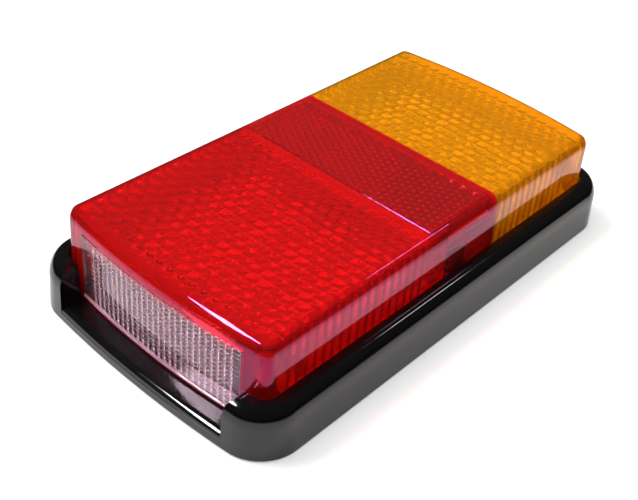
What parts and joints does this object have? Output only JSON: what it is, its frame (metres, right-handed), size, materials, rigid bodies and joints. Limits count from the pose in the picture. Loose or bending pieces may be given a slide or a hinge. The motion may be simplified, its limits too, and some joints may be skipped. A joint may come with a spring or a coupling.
{
  "type": "rear combination lamp",
  "caption": "Slim rectangular rear lamp with red stop and tail lens, reflector, amber indicator lens and a ribbed clear number plate window.",
  "frame": {"origin": "centre of the flat back face", "axes": "+X across the lamp, +Y along the lamp towards the amber indicator end, +Z out of the lens"},
  "size_m": [0.084, 0.15, 0.0295],
  "materials": {
    "black_housing": "gloss moulded",
    "red_lens": "clear red, gloss moulded",
    "amber_lens": "clear amber, gloss moulded",
    "red_reflector": "clear red with prisms behind",
    "backplate": "moulded",
    "clear_window": "clear, gloss moulded",
    "seal_rubber": "matt",
    "board": "white solder mask",
    "screw_steel": "zinc plated",
    "insert_brass": "turned",
    "grommet_rubber": "matt",
    "header_nylon": "moulded",
    "chip_black": "moulded epoxy",
    "capacitor_can": "drawn can",
    "red_diode": "clear epoxy",
    "amber_diode": "clear epoxy",
    "white_diode": "clear epoxy"
  },
  "bodies": {
    "root": {"base_housing": "black_housing", "lens_red": "red_lens", "lens_amber": "amber_lens", "reflex_reflector": "red_reflector", "reflector_backplate": "backplate", "plate_window": "clear_window", "lens_seal": "seal_rubber", "circuit_board": "board", "plate_light_board": "board", "board_screws": "screw_steel", "mount_insert_near": "insert_brass", "mount_insert_far": "insert_brass", "cable_grommet": "grommet_rubber", "wire_header": "header_nylon", "driver_chip": "chip_black", "resistors": "chip_black", "surge_diode": "chip_black", "capacitor": "capacitor_can", "stop_led_1": "red_diode", "stop_led_2": "red_diode", "stop_led_3": "red_diode", "stop_led_4": "red_diode", "stop_led_5": "red_diode", "stop_led_6": "red_diode", "stop_led_7": "red_diode", "stop_led_8": "red_diode", "stop_led_9": "red_diode", "stop_led_10": "red_diode", "stop_led_11": "red_diode", "stop_led_12": "red_diode", "stop_led_13": "red_diode", "stop_led_14": "red_diode", "stop_led_15": "red_diode", "stop_led_16": "red_diode", "indicator_led_1": "amber_diode", "indicator_led_2": "amber_diode", "indicator_led_3": "amber_diode", "indicator_led_4": "amber_diode", "indicator_led_5": "amber_diode", "indicator_led_6": "amber_diode", "indicator_led_7": "amber_diode", "indicator_led_8": "amber_diode", "indicator_led_9": "amber_diode", "indicator_led_10": "amber_diode", "indicator_led_11": "amber_diode", "indicator_led_12": "amber_diode", "plate_led_1": "white_diode", "plate_led_2": "white_diode", "plate_led_3": "white_diode"}
  },
  "joints": []
}
